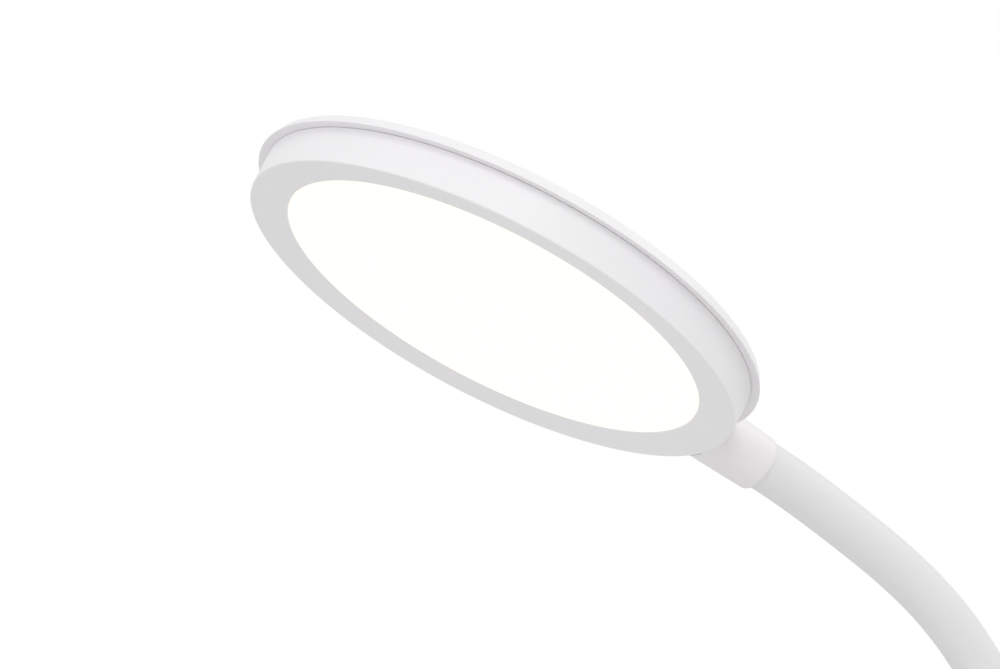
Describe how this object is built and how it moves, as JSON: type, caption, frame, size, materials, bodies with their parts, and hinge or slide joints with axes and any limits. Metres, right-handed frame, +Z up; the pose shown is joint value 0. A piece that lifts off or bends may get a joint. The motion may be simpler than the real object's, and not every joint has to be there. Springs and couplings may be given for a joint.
{
  "type": "desk lamp",
  "caption": "Desk lamp with a round edge-lit disc head on a sleeved bendable neck that rises from a weighted round base with a push button.",
  "frame": {"origin": "centre of the base's underside, on the surface the lamp stands on", "axes": "+Z up; the neck rises behind the centre, towards +Y, and the head reaches out towards -Y; +X is to the lamp's right as seen from behind it, looking towards -Y"},
  "size_m": [0.1466, 0.2628, 0.3666],
  "materials": {
    "head_shell": "satin white ABS, fine spark texture",
    "cover_shell": "satin white ABS, fine spark texture",
    "lens": "opal acrylic, lit from inside",
    "guide": "clear acrylic with printed dots",
    "sheet": "matt white reflector film",
    "strip": "white flexible circuit",
    "led": "yellow phosphor",
    "aluminium": "pressed sheet",
    "steel": "zinc plated",
    "ballast": "phosphated steel",
    "black_screw": "black oxide",
    "collar": "satin white ABS",
    "silicone": "matt white silicone",
    "cable": "soft white jacket",
    "lead": "red insulation",
    "nylon": "natural nylon",
    "base_shell": "satin white ABS, fine spark texture",
    "pad": "dark grey non-slip rubber",
    "board": "green solder mask",
    "chip": "black moulding compound",
    "ferrite": "dark ferrite with copper winding",
    "can": "sleeved can",
    "inlet": "black moulded nylon",
    "button": "satin white ABS",
    "plunger": "red acetal"
  },
  "bodies": {
    "base": {"base_cover": "base_shell", "base_plate": "steel", "ballast_plate": "ballast", "neck_boss": "base_shell", "lower_ferrule": "steel", "lock_washer": "steel", "ferrule_nut": "steel", "base_screws": "steel", "foot_pad": "pad", "driver_board": "board", "driver_chip": "chip", "inductor": "ferrite", "capacitors": "can", "board_connector": "nylon", "board_screws": "steel", "power_inlet": "inlet", "inlet_pin": "steel", "inlet_leads": "lead", "switch_body": "chip", "neck_sleeve": "silicone", "lamp_cable": "cable"},
    "link_01": {"link_01": "steel"},
    "link_02": {"link_02": "steel"},
    "link_03": {"link_03": "steel"},
    "link_04": {"link_04": "steel"},
    "link_05": {"link_05": "steel"},
    "link_06": {"link_06": "steel"},
    "link_07": {"link_07": "steel"},
    "link_08": {"link_08": "steel"},
    "link_09": {"link_09": "steel"},
    "link_10": {"link_10": "steel"},
    "link_11": {"link_11": "steel"},
    "link_12": {"link_12": "steel"},
    "link_13": {"link_13": "steel"},
    "link_14": {"link_14": "steel"},
    "link_15": {"link_15": "steel"},
    "head": {"head_housing": "head_shell", "back_cover": "cover_shell", "diffuser": "lens", "light_guide": "guide", "reflector_sheet": "sheet", "led_strip": "strip", "leds": "led", "heat_spreader": "aluminium", "spreader_screws": "black_screw", "neck_socket": "collar", "socket_screws": "black_screw", "upper_ferrule": "steel", "head_connector": "nylon", "strip_leads": "lead"},
    "button": {"power_button": "button", "switch_plunger": "plunger"}
  },
  "joints": [
    {"name": "neck_lower_bend", "type": "hinge", "parent": "base", "child": "link_01", "pos_m": [0, 0.034, 0.048], "axis": [1, 0, 0], "range_deg": [-9, 7], "deforming": ["neck_sleeve", "lamp_cable"]},
    {"name": "neck_lower_sway", "type": "hinge", "parent": "link_01", "child": "link_02", "pos_m": [0, 0.034, 0.066], "axis": [0, 1, 0], "range_deg": [-8, 8]},
    {"name": "neck_lower_bend_2", "type": "hinge", "parent": "link_02", "child": "link_03", "pos_m": [0, 0.034, 0.084], "axis": [1, 0, 0], "range_deg": [-9, 7]},
    {"name": "neck_lower_sway_2", "type": "hinge", "parent": "link_03", "child": "link_04", "pos_m": [0, 0.034, 0.102], "axis": [0, 1, 0], "range_deg": [-8, 8]},
    {"name": "neck_lower_bend_3", "type": "hinge", "parent": "link_04", "child": "link_05", "pos_m": [0, 0.034, 0.12], "axis": [1, 0, 0], "range_deg": [-9, 7]},
    {"name": "neck_lower_sway_3", "type": "hinge", "parent": "link_05", "child": "link_06", "pos_m": [0, 0.034, 0.138], "axis": [0, 1, 0.0044], "range_deg": [-8, 8]},
    {"name": "neck_lower_bend_4", "type": "hinge", "parent": "link_06", "child": "link_07", "pos_m": [0, 0.03392, 0.156], "axis": [1, 0, 0], "range_deg": [-9, 7]},
    {"name": "neck_lower_sway_4", "type": "hinge", "parent": "link_07", "child": "link_08", "pos_m": [0, 0.03345, 0.17399], "axis": [0, 0.9936, 0.1132], "range_deg": [-8, 8]},
    {"name": "neck_upper_bend", "type": "hinge", "parent": "link_08", "child": "link_09", "pos_m": [0, 0.03141, 0.19188], "axis": [1, 0, 0], "range_deg": [-15, 9]},
    {"name": "neck_upper_sway", "type": "hinge", "parent": "link_09", "child": "link_10", "pos_m": [0, 0.0266, 0.20922], "axis": [0, 0.9026, 0.4305], "range_deg": [-8, 8]},
    {"name": "neck_upper_bend_2", "type": "hinge", "parent": "link_10", "child": "link_11", "pos_m": [0, 0.01885, 0.22547], "axis": [1, 0, 0], "range_deg": [-15, 9]},
    {"name": "neck_upper_sway_2", "type": "hinge", "parent": "link_11", "child": "link_12", "pos_m": [0, 0.00834, 0.24008], "axis": [0, 0.6978, 0.7163], "range_deg": [-8, 8]},
    {"name": "neck_upper_bend_3", "type": "hinge", "parent": "link_12", "child": "link_13", "pos_m": [0, -0.00456, 0.25264], "axis": [1, 0, 0], "range_deg": [-15, 9]},
    {"name": "neck_upper_sway_3", "type": "hinge", "parent": "link_13", "child": "link_14", "pos_m": [0, -0.01898, 0.26341], "axis": [0, 0.5483, 0.8363], "range_deg": [-8, 8]},
    {"name": "neck_upper_bend_4", "type": "hinge", "parent": "link_14", "child": "link_15", "pos_m": [0, -0.03403, 0.27328], "axis": [1, 0, 0], "range_deg": [-15, 9]},
    {"name": "neck_upper_sway_4", "type": "hinge", "parent": "link_15", "child": "head", "pos_m": [0, -0.0495, 0.28248], "axis": [0, 0.4848, 0.8746], "range_deg": [-8, 8]},
    {"name": "button_press", "type": "slide", "parent": "base", "child": "button", "axis": [0, 0, 1], "range_m": [-0.0015, 0], "stiffness_N_per_m": 800, "springref_m": 0.0005}
  ],
  "couplings": [
    {"joint": "neck_lower_bend_2", "follows": "neck_lower_bend", "ratio": 1},
    {"joint": "neck_lower_sway_2", "follows": "neck_lower_sway", "ratio": 1},
    {"joint": "neck_lower_bend_3", "follows": "neck_lower_bend", "ratio": 1},
    {"joint": "neck_lower_sway_3", "follows": "neck_lower_sway", "ratio": 1},
    {"joint": "neck_lower_bend_4", "follows": "neck_lower_bend", "ratio": 1},
    {"joint": "neck_lower_sway_4", "follows": "neck_lower_sway", "ratio": 1},
    {"joint": "neck_upper_bend_2", "follows": "neck_upper_bend", "ratio": 1},
    {"joint": "neck_upper_sway_2", "follows": "neck_upper_sway", "ratio": 1},
    {"joint": "neck_upper_bend_3", "follows": "neck_upper_bend", "ratio": 1},
    {"joint": "neck_upper_sway_3", "follows": "neck_upper_sway", "ratio": 1},
    {"joint": "neck_upper_bend_4", "follows": "neck_upper_bend", "ratio": 1},
    {"joint": "neck_upper_sway_4", "follows": "neck_upper_sway", "ratio": 1}
  ]
}
